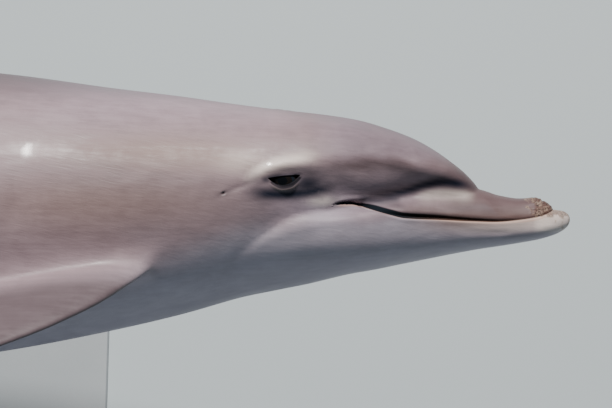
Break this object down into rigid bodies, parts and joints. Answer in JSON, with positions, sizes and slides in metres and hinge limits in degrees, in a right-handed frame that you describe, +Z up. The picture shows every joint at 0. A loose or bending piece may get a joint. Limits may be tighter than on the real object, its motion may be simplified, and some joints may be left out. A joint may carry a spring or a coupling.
{
  "type": "bottlenose dolphin model",
  "caption": "Life-size bottlenose dolphin, mouth closed, banked on its left side in a level glide, held over a flat base plate by upright steel rods.",
  "frame": {"origin": "on the floor under the middle of the whole model's bounding box", "axes": "+Z up, +X towards the snout, +Y to the side the back leans to"},
  "size_m": [2.5696, 0.7166, 0.8234],
  "materials": {
    "skin": "smooth wet skin, grey above, pale below",
    "eye": "wet gloss",
    "stand_paint": "fine matt powder coat, pale grey",
    "stand_steel": "brushed satin"
  },
  "bodies": {
    "root": {"head": "skin", "upper_jaw": "skin", "lower_jaw": "skin", "neck": "skin", "chest": "skin", "trunk": "skin", "tail_base": "skin", "tail_stock": "skin", "dorsal_fin": "skin", "flipper_left": "skin", "flipper_right": "skin", "fluke_left": "skin", "fluke_right": "skin", "eye_left": "eye", "eye_right": "eye", "stand_base": "stand_paint", "stand_rod_front": "stand_steel", "stand_rod_rear": "stand_steel"}
  },
  "joints": []
}
